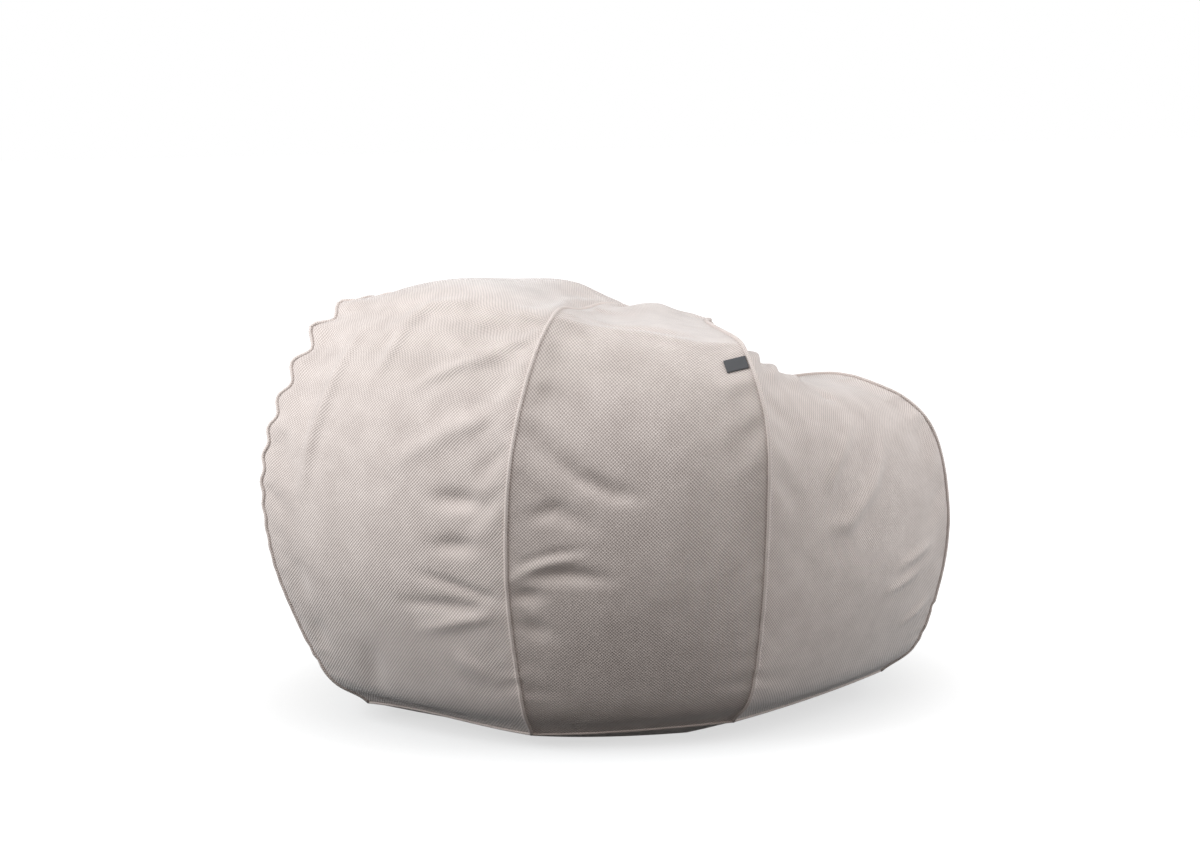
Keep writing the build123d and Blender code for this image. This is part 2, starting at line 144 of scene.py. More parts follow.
def seam_line(angle, level):
    """Seam at an angle from the front: along the oval x is its middle plus half its length times
    cos(angle), y is half its width times -sin(angle), and z is a front, side and back height blend.
    The spine term draws only the centre back seam out, and the slump lowers only the left side."""
    c, s = np.cos(angle), np.sin(angle)
    size = {name: curve(values, level) for name, values in OVALS.items()}
    ahead_of, behind = (size["z_front"] - size["z_back"]) / 2, (size["z_front"] + size["z_back"]) / 2
    x = (size["front"] + size["back"]) / 2 + (size["front"] - size["back"]) / 2 * c
    x = x - size["spine"] * max(-c, 0) ** 6 + CENTRE_SHIFT
    z = size["z_side"] + ahead_of * c + (behind - size["z_side"]) * c * c - size["slump"] * max(-s, 0)
    return np.stack([x, -size["half"] * s, z], axis=-1)


back_seam = seam_line(np.pi, np.linspace(0, TOP, 701))
back_length = np.linalg.norm(np.diff(back_seam, axis=0), axis=1).sum()
print("the centre back seam is", back_length.round(2), "m long")

# %% [markdown]
# ## Panels
# On the real chair each panel is cut like a long leaf and the beads push it out between its two seams.
# So a panel is drawn straight from seam to seam and then bowed, by an amount that changes up the bag.

# %% Panels
def unit(v):
    """Vectors of the same direction and a length of one."""
    return v / np.maximum(np.linalg.norm(v, axis=-1, keepdims=True), 1e-9)


def panel_surface(number, level, across):
    """Panel between seams number and number+1 on a grid: straight from seam to seam, plus a parabola
    4 w (1 - w) times the crown along the outward normal, w being the share of the way across. At the
    hem and the cap the crown lies flat instead."""
    near, far = SEAMS[number], SEAMS[(number + 1) % 8]
    a, b = seam_line(near, level), seam_line(far, level)
    normal = unit(np.cross(np.gradient((a + b) / 2, axis=0), b - a))
    lying = unit(np.cross([0, 0, 1.0], b - a))
    free = np.clip(np.minimum(level, TOP - level), 0, 1)[:, None]
    normal = unit(normal * free + lying * (1 - free) * np.where(level < TOP / 2, 1, -1)[:, None])
    crown = curve(OVALS["crown"], level) + curve(SWELLS.get(number, [0] * 8), level)
    bow = (normal * crown[:, None])[:, None]
    w = across[None, :, None]
    return a[:, None] * (1 - w) + b[:, None] * w + bow * 4 * w * (1 - w)


def even_levels(count):
    """Levels spaced evenly along the cloth, not evenly from oval to oval."""
    fine = np.linspace(0, TOP, 701)
    steps = [np.linalg.norm(np.diff(seam_line(a, fine), axis=0), axis=1) for a in SEAMS[1:5]]
    walked = np.concatenate([[0], np.cumsum(np.mean(steps, axis=0))])
    return np.interp(np.linspace(0, walked[-1], count), walked, fine)


def whole_cover(levels, columns):
    """All eight panels side by side: rows go up the bag, columns go round it and close."""
    across = np.linspace(0, 1, columns + 1)[:-1]
    return np.concatenate([panel_surface(n, levels, across) for n in range(8)], axis=1)


ROWS, COLUMNS = 100, 30
row_levels = even_levels(ROWS + 1)
cover = whole_cover(row_levels, COLUMNS)
print("cover grid", cover.shape)

# %% [markdown]
# ## Where beads have settled
# Beads never lie quite evenly: the crest stands higher in one place and sinks in another. More ovals
# would be hard to keep smooth, so a few soft lifts are added to the finished grid.

# %% Lifts
# Panels round from the front centre seam, level, reach round, reach in level, lift in metres. The first
# is the back hem's roll-up.
LIFTS = [
    (3.75, 0.0, 0.6, 0.6, 0.018),
    (2.1, 4.45, 0.42, 0.6, -0.015),
    (3.35, 4.7, 0.35, 0.6, -0.010),
    (3.2, 5.3, 0.25, 0.45, 0.016),
    (2.7, 4.6, 0.22, 0.5, -0.014),
    (2.7, 5.4, 0.38, 0.45, 0.018),
]


def lifted(grid, levels):
    """Adds the lifts: each is its height times exp(-(panels away / reach)^2 - (levels away / reach)^2)."""
    around = np.arange(grid.shape[1]) * 8 / grid.shape[1]
    rise = np.zeros(grid.shape[:2])
    for place, level, reach, level_reach, height in LIFTS:
        levels_away = ((levels[:, None] - level) / level_reach) ** 2
        rise += height * np.exp(-levels_away - ((around - place) / reach) ** 2)
    return grid + rise[..., None] * np.array([0, 0, 1.0])


cover = lifted(cover, row_levels)
print("cover box", cover.min((0, 1)).round(3), cover.max((0, 1)).round(3))

# %% [markdown]
# ## Meshes from grids
# Every new piece is a grid of points, so one helper turns a grid into quads. Modelling tools could do
# the same by hand, but a grid can be moved with a formula. Cloth has no thickness to speak of from
# outside, but it must be closed: a grid that goes round joins its last column to its first, and a pole
# closes a row to a point.

# %% Grid helpers
def quads(rows, columns, wrap, first=0):
    """Corner numbers of a grid's quads, row by row. With wrap, the last column meets the first."""
    r = np.arange(rows - 1)[:, None]
    c = np.arange(columns if wrap else columns - 1)[None, :]
    n = (c + 1) % columns
    corners = [r * columns + c, r * columns + n, (r + 1) * columns + n, (r + 1) * columns + c]
    return first + np.stack(corners, axis=-1).reshape(-1, 4)


def make_mesh(name, points, faces, material, uv=None):
    """Object from an (n, 3) array of points and a list of faces, with a UV map if one is given."""
    mesh = bpy.data.meshes.new(name)
    mesh.from_pydata(points.reshape(-1, 3).tolist(), [], [list(f) for f in faces])
    if uv is not None:
        layer = mesh.uv_layers.new(name="cloth")
        layer.data.foreach_set("uv", np.asarray(uv, dtype=np.float32).ravel())
    mesh.polygons.foreach_set("use_smooth", [True] * len(mesh.polygons))
    mesh.update()
    obj = bpy.data.objects.new(name, mesh)
    bpy.context.scene.collection.objects.link(obj)
    if material is not None:
        mesh.materials.append(material)
    return obj


def normals_of(grid, wrap):
    """Outward normals of a grid that goes round the bag: up the rows crossed with round the columns,
    each taken between the two neighbours."""
    if wrap:
        around = np.roll(grid, -1, axis=1) - np.roll(grid, 1, axis=1)
    else:
        around = np.gradient(grid, axis=1)
    return unit(np.cross(np.gradient(grid, axis=0), around))


middle_row = ROWS // 2
outward = normals_of(cover, True)
print("a normal at the right side points to", outward[middle_row, 2 * COLUMNS].round(2))

# %% [markdown]
# ## Settling the cloth
# The ovals give a taut balloon. A real seam draws up a little under the needle, so the cloth beside
# it is a few per cent too long and puckers. Blender's Cloth does that: every point is pulled softly
# back to the stuffed shape, firmly at the seams, the hem and the cap, and the cloth near a seam is
# made to grow. The beads push from inside, as a pressure, and a little gravity pulls down.

# %% Distance to the seams
def cloth_distance():
    """Distance in metres from each point of the cover to the nearer seam of its panel."""
    share = (np.arange(8 * COLUMNS) % COLUMNS) / COLUMNS
    width = np.linalg.norm(np.roll(cover, -1, axis=1) - cover, axis=2)
    panel_width = width.reshape(ROWS + 1, 8, COLUMNS).sum(axis=2).repeat(COLUMNS, axis=1)
    return np.minimum(share, 1 - share)[None, :] * panel_width


to_seam = cloth_distance()
print("the middle of a panel is up to", to_seam.max().round(3), "m from a seam")

# %% Settle the cloth
SLACK, SLACK_WIDTH = 0.06, 0.04
HOLD, HOLD_SEWN, SEWN_WIDTH = 0.05, 0.5, 0.008
SETTLE_FRAMES = 30


def settle(points, frames):
    """Runs Blender's Cloth on the cover grid and returns the settled points. The pull back to the
    shape is strong where cloth is sewn: weight = 0.05 + 0.5 exp(-(d / 8 mm)^2), d from the seam. It
    rises to 1 within a few rows of the hem and the cap, and in the seat."""
    obj = make_mesh("settling", points, quads(ROWS + 1, 8 * COLUMNS, True)[:, ::-1], None)
    row = np.arange(ROWS + 1)[:, None]
    ends = np.exp(-((np.minimum(row, ROWS - row) / 5.0) ** 2))
    seat = np.clip((row / ROWS - 0.78) / 0.1, 0, 1)
    hold = HOLD + HOLD_SEWN * np.exp(-((to_seam / SEWN_WIDTH) ** 2)) + ends + seat
    hold_group = obj.vertex_groups.new(name="hold")
    slack_group = obj.vertex_groups.new(name="slack")
    slack = np.exp(-((to_seam / SLACK_WIDTH) ** 2)) * np.ones_like(hold)
    for group, weights in ((hold_group, hold), (slack_group, slack)):
        for step in np.linspace(0.02, 1.0, 50):
            chosen = np.flatnonzero(np.abs(np.clip(weights, 0, 1).ravel() - step) <= 0.0101)
            group.add(chosen.tolist(), float(step), "REPLACE")
    cloth = obj.modifiers.new("cloth", "CLOTH")
    cloth.settings.quality = 5
    cloth.settings.mass = 0.3
    cloth.settings.tension_stiffness = 20
    cloth.settings.compression_stiffness = 20
    cloth.settings.shear_stiffness = 8
    cloth.settings.bending_stiffness = 0.6
    cloth.settings.vertex_group_mass = "hold"
    cloth.settings.pin_stiffness = 1.0
    cloth.settings.vertex_group_shrink = "slack"
    cloth.settings.shrink_min = 0.0
    cloth.settings.shrink_max = -SLACK
    cloth.settings.use_pressure = True
    cloth.settings.uniform_pressure_force = 0.6
    cloth.settings.effector_weights.gravity = 0.5
    cloth.collision_settings.use_collision = False
    scene = bpy.context.scene
    scene.frame_start, scene.frame_end = 1, frames
    cloth.point_cache.frame_start, cloth.point_cache.frame_end = 1, frames
    for frame_number in range(1, frames + 1):
        scene.frame_set(frame_number)
    settled = obj.evaluated_get(bpy.context.evaluated_depsgraph_get()).data
    flat = np.empty(len(settled.vertices) * 3)
    settled.vertices.foreach_get("co", flat)
    scene.frame_set(1)
    bpy.data.objects.remove(obj)
    return flat.reshape(points.shape)


settled = settle(cover, SETTLE_FRAMES)
print("frames of cloth simulation:", SETTLE_FRAMES)

# %% [markdown]
# ## Only the puckers
# The simulated cloth also hangs and sags, which a firmly stuffed bag doesn't. The slow part of the
# movement is taken off again, so what is left is what a seam does: short puckers beside it.

# %% Keep the puckers
def smoothed(move, times):
    """Evens out a grid of movements: each value becomes half itself and a quarter of each neighbour,
    along the columns and then along the rows, many times over."""
    for _ in range(times):
        move = move / 2 + (np.roll(move, 1, axis=1) + np.roll(move, -1, axis=1)) / 4
        padded = np.concatenate([move[:1], move, move[-1:]])
        move = padded[1:-1] / 2 + (padded[:-2] + padded[2:]) / 4
    return move


label_joint = next(j for j in frame["record"]["behaviour"]["joints"] if j["name"] == "label_flip")
hinge = np.array(label_joint["pos_m"])
PUCKER_REACH, PUCKER_MOST, LABEL_CLEAR = 0.045, 0.006, 0.05


def puckered(points, start, most):
    """Keeps the puckers beside the seams and drops the sag: the slow part of the movement is taken off,
    the rest fades as exp(-(d / 45 mm)^2) away from a seam, towards the hem and at the label, and no
    point ends further than a distance from where it started."""
    move = points - start
    move = move - smoothed(move, 30)
    beside_label = np.exp(-((np.linalg.norm(start - hinge, axis=2) / LABEL_CLEAR) ** 2))
    above_hem = np.clip(np.arange(ROWS + 1) / 12 - 0.4, 0, 1)[:, None]
    keep = np.exp(-((to_seam / PUCKER_REACH) ** 2)) * (1 - beside_label) * above_hem
    move = move * keep[..., None]
    far = np.linalg.norm(move, axis=2, keepdims=True)
    return start + move * np.minimum(1, most / np.maximum(far, 1e-9))


settled = puckered(settled, cover, PUCKER_MOST)
moved = np.linalg.norm(settled - cover, axis=2) * 1000
print("settling moved the cloth by", moved.mean().round(1), "mm, at most", moved.max().round(1), "mm")

# %% [markdown]
# ## A finer grid
# The settled grid is coarse, so that the simulation is quick. Points halfway between are put in along
# rows and columns with the four-point rule, which keeps curves round. It is done panel by panel, so
# that the cloth keeps its fold at every seam.

# %% Finer grid
def halfway(line):
    """Doubles the points along the first axis: a new point is 9/16 of its two neighbours less 1/16 of
    the two beyond them, and the ends are carried on straight."""
    ahead = np.concatenate([2 * line[:1] - line[1:2], line, 2 * line[-1:] - line[-2:-1]])
    between = (9 * (ahead[1:-2] + ahead[2:-1]) - ahead[:-3] - ahead[3:]) / 16
    out = np.empty((2 * len(line) - 1,) + line.shape[1:])
    out[0::2], out[1::2] = line, between
    return out


def by_panel(grid):
    """(rows, 8 panels, columns with both seams, 3) from the grid that goes round."""
    panels = grid.reshape(len(grid), 8, -1, 3)
    return np.concatenate([panels, np.roll(panels, -1, axis=1)[:, :, :1]], axis=2)


def finer(grid):
    """Twice as many rows up the bag, then twice as many columns across each panel."""
    panels = by_panel(halfway(grid))
    across = np.moveaxis(halfway(np.moveaxis(panels, 2, 0)), 0, 2)
    return across[:, :, :-1].reshape(len(across), -1, 3)


skin = finer(settled)
skin_rows, skin_columns = skin.shape[:2]
fine_levels = halfway(row_levels)
print("fine grid", skin.shape)

# %% [markdown]
# ## Folds that the picture shows
# Some folds are this bag's own: creases that run into the seams, dents where beads have shifted and
# the gathered cloth round the seat. A simulation can't be told where to put them, so each is a soft
# ridge or dent along a short line on a panel, given by the level between ovals and the share across.

# %% Folds
# Each fold is its panel, numbered as the swells are, its width and height in millimetres, and its line
# as (level, share across) pairs. The ones on panels 4 to 7 and 0, on the far side, are guessed.
FOLDS = [
    (3, 9, 8.0, (3.7, 0.76), (3.3, 0.78), (2.9, 0.80), (2.5, 0.82)),
    (3, 9, 6.5, (3.75, 0.55), (3.4, 0.58)),
    (3, 10, 6.0, (4.0, 0.35), (3.9, 0.5), (3.6, 0.67)),
    (3, 16, -8.0, (3.75, 0.26), (3.8, 0.12)),
    (3, 6, 5.0, (3.55, 0.32), (3.6, 0.17), (3.76, 0.04)),
    (3, 7, 5.5, (3.3, 0.42), (3.5, 0.25), (3.62, 0.05)),
    (3, 16, 6.0, (2.75, 0.45), (3.0, 0.24), (3.1, 0.12), (3.13, 0.04)),
    (3, 14, -9.5, (2.54, 0.27), (2.5, 0.08)),
    (3, 12, -7.0, (2.2, 0.26), (2.2, 0.10)),
    (3, 8, -5.5, (2.0, 0.34), (1.9, 0.18), (1.8, 0.02)),
    (3, 10, -5.0, (1.76, 0.42), (1.76, 0.24), (1.73, 0.1)),
    (3, 10, 4.5, (1.56, 0.36), (1.65, 0.18), (1.72, 0.03)),
    (3, 16, 4.5, (1.4, 0.25), (1.2, 0.12)),
    (3, 18, -4.0, (2.0, 0.87), (1.65, 0.9)),
    (3, 18, -4.0, (1.55, 0.86), (1.25, 0.92)),
    (3, 20, -4.5, (1.4, 0.62), (0.85, 0.72)),
    (2, 12, -8.0, (2.88, 0.86), (2.72, 0.73), (2.6, 0.6), (2.56, 0.52)),
    (2, 13, -7.0, (2.43, 0.92), (2.48, 0.82), (2.36, 0.7)),
    (2, 7, -4.5, (2.08, 0.95), (2.17, 0.82), (2.2, 0.72)),
    (2, 10, -7.5, (2.0, 0.9), (2.03, 0.76), (2.0, 0.62)),
    (2, 8, 4.0, (1.98, 0.99), (2.12, 0.85), (2.16, 0.72)),
    (2, 10, -7.0, (1.84, 0.99), (1.84, 0.86)),
    (2, 12, -5.5, (1.65, 0.95), (1.58, 0.85)),
    (2, 9, 4.5, (4.05, 0.85), (4.05, 0.55), (4.0, 0.2)),
    (2, 9, -6.0, (4.3, 0.85), (4.3, 0.55), (4.2, 0.25)),
    (1, 14, 6.0, (2.9, 0.37), (2.55, 0.5), (2.3, 0.63), (2.28, 0.74)),
    (1, 12, 4.5, (3.1, 0.51), (2.7, 0.68), (2.5, 0.74)),
    (1, 9, -6.0, (3.46, 0.57), (3.35, 0.5)),
    (1, 8, 4.5, (1.9, 0.33), (2.05, 0.12)),
    (1, 8, 4.5, (1.7, 0.38), (1.84, 0.18)),
    (1, 8, 4.5, (1.33, 0.22), (1.52, 0.06)),
    (1, 9, 8.0, (3.75, 0.97), (4.0, 0.86), (4.3, 0.82)),
    (1, 9, 8.0, (3.6, 0.86), (3.85, 0.74), (4.1, 0.68)),
    (1, 9, 6.5, (3.5, 0.73), (3.7, 0.62), (3.9, 0.56)),
    (1, 8, -3.0, (3.6, 0.95), (3.9, 0.8), (4.2, 0.75)),
    (4, 14, -5.0, (2.7, 0.62), (2.6, 0.4), (2.55, 0.2)),
    (4, 11, 4.5, (3.3, 0.15), (3.1, 0.45), (3.0, 0.6)),
    (4, 12, -4.5, (1.9, 0.95), (1.95, 0.75), (1.85, 0.55)),
    (5, 14, -5.5, (2.5, 0.1), (2.35, 0.3), (2.4, 0.5)),
    (5, 10, 4.5, (1.8, 0.05), (1.9, 0.25), (1.85, 0.45)),
    (5, 13, -5.0, (3.2, 0.9), (3.0, 0.65), (2.9, 0.5)),
    (6, 12, 5.0, (2.9, 0.2), (2.6, 0.4), (2.4, 0.6)),
    (6, 12, -5.0, (2.0, 0.95), (2.1, 0.7), (2.05, 0.5)),
    (6, 9, 4.5, (3.7, 0.2), (3.9, 0.35), (4.2, 0.4)),
    (7, 13, -5.0, (2.2, 0.1), (2.3, 0.35), (2.2, 0.6)),
    (7, 10, 4.5, (3.2, 0.8), (3.4, 0.5), (3.5, 0.3)),
    (0, 13, -5.0, (2.5, 0.9), (2.4, 0.65), (2.5, 0.45)),
    (0, 10, 4.5, (1.8, 0.15), (1.9, 0.35), (1.8, 0.5)),
    (0, 12, 4.5, (3.3, 0.25), (3.5, 0.5), (3.4, 0.75)),
]
print(len(FOLDS), "folds")

# %% Raise the folds
def on_skin(panel, level, share):
    """Point of the cover at a panel's level and share of the way across."""
    row = np.interp(level, fine_levels, np.arange(skin_rows))
    column = (panel + share) * (skin_columns / 8)
    return skin[int(round(row)), int(round(column)) % skin_columns]


def fold_heights(grid):
    """Sum of the folds: each is height times exp(-(d / width)^2), d being the distance to its line, and
    fades towards the line's two ends as 0.25 + 0.75 sin(pi t), t being the share of the way along."""
    total = np.zeros(grid.shape[:2])
    for panel, width, height, *line in FOLDS:
        points = [on_skin(panel, *place) for place in line]
        nearest = np.full(grid.shape[:2], 9.0)
        fade = np.zeros(grid.shape[:2])
        for k, (a, b) in enumerate(zip(points, points[1:])):
            along = np.clip(((grid - a) @ (b - a)) / ((b - a) @ (b - a)), 0, 1)
            distance = np.linalg.norm(grid - a - along[..., None] * (b - a), axis=2)
            here = 0.25 + 0.75 * np.sin(np.pi * (k + along) / (len(points) - 1))
            fade = np.where(distance < nearest, here, fade)
            nearest = np.minimum(nearest, distance)
        total += height / 1000 * np.exp(-((nearest * 1000 / width) ** 2)) * fade
    return total


raised = fold_heights(skin)
skin = skin + normals_of(skin, True) * raised[..., None]
print("folds from", (raised.min() * 1000).round(1), "to", (raised.max() * 1000).round(1), "mm")

# %% [markdown]
# ## The wavy back seam
# The centre back seam is drawn up more than the others, so it runs in short waves where it comes over
# the shoulder. The cloth on both sides of it goes along with it, so the grid itself is moved, and the
# welt that is made later follows.

# %% Wavy seam
WAVE_TOP, WAVE_RATIO, WAVE_SIDEWAYS, WAVE_OUT = 3.69, 0.928, 0.010, 0.0075
WAVE_END, WAVE_REACH = 4.25, 0.028


def waves(grid):
    """Movement beside the centre back seam, a little sideways and outward. It swings as cos(2 pi n), n
    being log(level / top) / log(ratio), so each wave down the seam is shorter than the last, and also
    lower, as (level / top)^5. It fades away from the seam and over the crest."""
    middle = 4 * skin_columns // 8
    line = grid[:, middle]
    level = np.maximum(fine_levels, 0.5)
    swing = np.cos(2 * np.pi * np.log(level / WAVE_TOP) / np.log(WAVE_RATIO))
    swing *= np.minimum(level / WAVE_TOP, 1) ** 5 * np.clip((WAVE_END - level) / 0.5, 0, 1)
    reach = np.exp(-((np.linalg.norm(grid - line[:, None], axis=2) / WAVE_REACH) ** 2))
    way = normals_of(grid, True)[:, middle] * WAVE_OUT + np.array([0, WAVE_SIDEWAYS, 0])
    return (swing[:, None] * way)[:, None] * reach[..., None]


waved = waves(skin)
skin = skin + waved
highest = np.linalg.norm(waved, axis=2).max() * 1000
print("back seam waves up to", highest.round(1), "mm")

# %% [markdown]
# ## Under the label
# The label lies flat on the rear side panel. Its place is fixed by its joint, so the cloth gives way: it
# is pressed in until it lies just below the label, and eases back round it.

# %% Under the label
LABEL_LENGTH, LABEL_WIDTH, LABEL_BED = 0.0325, 0.0205, 0.0013
LABEL_PANEL, LABEL_LEVEL = 2, 3.72
hinge_axis = unit(np.array(label_joint["axis"]))
beyond_label = on_skin(LABEL_PANEL, LABEL_LEVEL, 0.15)
label_along = unit(beyond_label - on_skin(LABEL_PANEL, LABEL_LEVEL, 0.0))
label_row = int(np.argmin(np.abs(fine_levels - LABEL_LEVEL)))
cloth_out = normals_of(skin, True)[label_row, LABEL_PANEL * skin_columns // 8 + 4]
label_out = unit(np.cross(hinge_axis, label_along))
label_out *= np.sign(label_out @ cloth_out)
label_along = np.cross(label_out, hinge_axis)
label_along *= np.sign(label_along @ (beyond_label - hinge))


def pressed_in(grid):
    """Moves cloth that stands higher than the label's bed down to it, along the label's outward way. The
    press fades as exp(-(d / 25 mm)^2), d being the distance outside the label's outline."""
    from_hinge = grid - hinge
    u, v, height = from_hinge @ label_along, from_hinge @ hinge_axis, from_hinge @ label_out
    beyond_u = np.maximum(np.abs(u - LABEL_LENGTH / 2) - LABEL_LENGTH / 2 - 0.004, 0)
    beyond_v = np.maximum(np.abs(v) - LABEL_WIDTH / 2 - 0.004, 0)
    near = np.exp(-((beyond_u / 0.025) ** 2) - (beyond_v / 0.025) ** 2) * (np.abs(height) < 0.05)
    return grid - (np.maximum(height + LABEL_BED, 0) * near)[..., None] * label_out


before = skin
skin = pressed_in(skin)
deepest = np.linalg.norm(skin - before, axis=2).max() * 1000
print("cloth pressed in by", deepest.round(1), "mm at the label")

# %% [markdown]
# ## Cloth finish
# The cover is a greige woven upholstery cloth with a short nap: a diagonal weave with a pitch of about
# five millimetres, which leans the other way on each next panel, and a soft sheen at grazing angles.
# An image of cloth could be laid on, but a formula needs no file and stays sharp. It works from the
# panel's own UV map, in metres, so it follows the cut. One node group serves every woven piece.

# %% Node helpers
def node(tree, kind, **settings):
    """A new node of a kind, with its own settings."""
    made = tree.nodes.new(kind)
    for name, value in settings.items():
        setattr(made, name, value)
    return made


def math(tree, operation, a, b=None, c=None):
    """Math node whose inputs are sockets or numbers."""
    made = tree.nodes.new("ShaderNodeMath")
    made.operation = operation
    for i, value in enumerate((a, b, c)):
        if value is None:
            continue
        if isinstance(value, (int, float)):
            made.inputs[i].default_value = value
        else:
            tree.links.new(value, made.inputs[i])
    return made.outputs[0]


print("node helpers:", node.__name__, "and", math.__name__)

# %% Weave group
def weave_group():
    """Weave from a cloth position in metres: diagonals p = (x + y) / pitch and q = (x - y) / pitch,
    height = 0.5 + 0.3 sin(2 pi p) + 0.2 sin(2 pi q), with slow patches of pressed nap."""
    tree = bpy.data.node_groups.new("diagonal weave", "ShaderNodeTree")
    face = tree.interface
    face.new_socket("Position", in_out="INPUT", socket_type="NodeSocketVector")
    face.new_socket("Pitch", in_out="INPUT", socket_type="NodeSocketFloat").default_value = 0.005
    face.new_socket("Height", in_out="OUTPUT", socket_type="NodeSocketFloat")
    face.new_socket("Nap", in_out="OUTPUT", socket_type="NodeSocketFloat")
    start, end = node(tree, "NodeGroupInput"), node(tree, "NodeGroupOutput")
    parts = node(tree, "ShaderNodeSeparateXYZ")
    tree.links.new(start.outputs["Position"], parts.inputs[0])
    x, y, pitch = parts.outputs[0], parts.outputs[1], start.outputs["Pitch"]
    p = math(tree, "DIVIDE", math(tree, "ADD", x, y), pitch)
    q = math(tree, "DIVIDE", math(tree, "SUBTRACT", x, y), pitch)
    wave_p = math(tree, "SINE", math(tree, "MULTIPLY", p, 2 * np.pi))
    wave_q = math(tree, "SINE", math(tree, "MULTIPLY", q, 2 * np.pi))
    ribs = math(tree, "MULTIPLY_ADD", wave_p, 0.3, 0.5)
    height = math(tree, "MULTIPLY_ADD", wave_q, 0.2, ribs)
    tree.links.new(height, end.inputs["Height"])
    patches = node(tree, "ShaderNodeTexNoise")
    patches.inputs["Scale"].default_value = 20.0
    patches.inputs["Detail"].default_value = 4.0
    patches.inputs["Roughness"].default_value = 0.6
    tree.links.new(start.outputs["Position"], patches.inputs["Vector"])
    tree.links.new(patches.outputs["Fac"], end.inputs["Nap"])
    return tree


weave = weave_group()
print("weave group with", len(weave.nodes), "nodes")

# %% Cloth materials
def new_material(name):
    """A new material, its node tree and the Principled shader in it."""
    material = bpy.data.materials.new(name)
    material.use_nodes = True
    return material, material.node_tree, material.node_tree.nodes["Principled BSDF"]


def mix_colours(tree, share, low, high):
    """Colour that goes from low to high as a share goes from 0 to 1."""
    made = tree.nodes.new("ShaderNodeMix")
    made.data_type = "RGBA"
    tree.links.new(share, made.inputs["Factor"])
    made.inputs["A"].default_value = (*low, 1)
    made.inputs["B"].default_value = (*high, 1)
    return made.outputs["Result"]


def cloth_material(name, dark, light, pitch, depth, sheen, from_uv=True):
    """Woven cloth: colour between the dark of the gaps, which is painted shade, and the light of the
    threads, moved a little by the nap, the weave as a bump, and sheen for the short pile."""
    material, tree, shader = new_material(name)
    place = node(tree, "ShaderNodeTexCoord")
    made = node(tree, "ShaderNodeGroup", node_tree=weave)
    made.inputs["Pitch"].default_value = pitch
    tree.links.new(place.outputs["UV" if from_uv else "Object"], made.inputs["Position"])
    worn = math(tree, "MULTIPLY_ADD", made.outputs["Nap"], 0.7, -0.35)
    share = math(tree, "ADD", made.outputs["Height"], worn)
    # The weave's low places take the dark colour: painted shade in the gaps between threads.
    tree.links.new(mix_colours(tree, share, dark, light), shader.inputs["Base Color"])
    bump = node(tree, "ShaderNodeBump")
    bump.inputs["Distance"].default_value = depth
    bump.inputs["Strength"].default_value = 1.0
    tree.links.new(made.outputs["Height"], bump.inputs["Height"])
    tree.links.new(bump.outputs["Normal"], shader.inputs["Normal"])
    shader.inputs["Roughness"].default_value = 0.9
    shader.inputs["Specular IOR Level"].default_value = 0.2
    shader.inputs["Sheen Weight"].default_value = sheen
    shader.inputs["Sheen Roughness"].default_value = 0.45
    shader.inputs["Sheen Tint"].default_value = (0.95, 0.98, 1.0, 1)
    return material


GREIGE_DARK, GREIGE_LIGHT = (0.43, 0.363, 0.335), (0.79, 0.70, 0.655)
cover_cloth = cloth_material("greige upholstery", GREIGE_DARK, GREIGE_LIGHT, 0.0051, 0.0007, 0.5)
print("cloth:", cover_cloth.name)

# %% [markdown]
# ## The cover
# Rows of cloth go from the hem up and over the crest and down into the seat. The cap closes the top.
# Eight separate strips could gape at the seams, so all panels share one grid. Under the hem it turns in
# and closes over the base, so that the stuffed bag is one closed form.

# %% Foot of the bag
def toward(ring, centre, shares):
    """Rows from a ring to a point: each is the ring drawn towards the point by a share."""
    return np.stack([ring * (1 - s) + centre * s for s in shares])


FOOT_MIDDLE, FOOT_LENGTH, FOOT_WIDTH, FOOT_BOW = -0.011 + CENTRE_SHIFT, 0.361, 0.318, 0.012
ROLL, CORNER_ROLL, CORNER_PLACE, CORNER_REACH = 0.015, 0.035, 3.7, 0.7


def foot_ring(columns, shrink, z):
    """Outline of the flat patch on the floor: straight between the ends of the seams, plus a parabola
    4 w (1 - w) times a bow outward. The bag rolls over its foot, so the outline is drawn in, most at the
    right back corner, where the roll is ROLL + CORNER_ROLL exp(-((panels round - 3.7) / 0.7)^2)."""
    c, s = np.cos(SEAMS), np.sin(SEAMS)
    x, y = FOOT_MIDDLE + (FOOT_LENGTH - shrink) * c, (shrink - FOOT_WIDTH) * s
    corner = np.stack([x, y, np.full(len(x), z)], axis=1)
    w = (np.arange(columns) / columns)[None, :, None]
    a, b = corner[:, None], np.roll(corner, -1, axis=0)[:, None]
    bow = unit(np.cross([0, 0, 1.0], b - a)) * FOOT_BOW
    ring = (a * (1 - w) + b * w + bow * 4 * w * (1 - w)).reshape(-1, 3)
    around = np.arange(len(ring)) * 8 / len(ring)
    roll = ROLL + CORNER_ROLL * np.exp(-(((around - CORNER_PLACE) / CORNER_REACH) ** 2))
    return ring - unit(ring - ring.mean(axis=0)) * roll[:, None]


per_panel = skin_columns // 8
inner_foot = foot_ring(per_panel, 0.004, 0.005)
print("the foot is", np.ptp(inner_foot, axis=0).round(3)[:2], "m long and wide")

# %% Rows of the cover
def beside_hem(inward, up):
    """The hem's outline moved level towards its middle, and up."""
    level_in = unit((skin[0].mean(axis=0) - skin[0]) * [1, 1, 0])
    return skin[0] + level_in * inward + [0, 0, up]


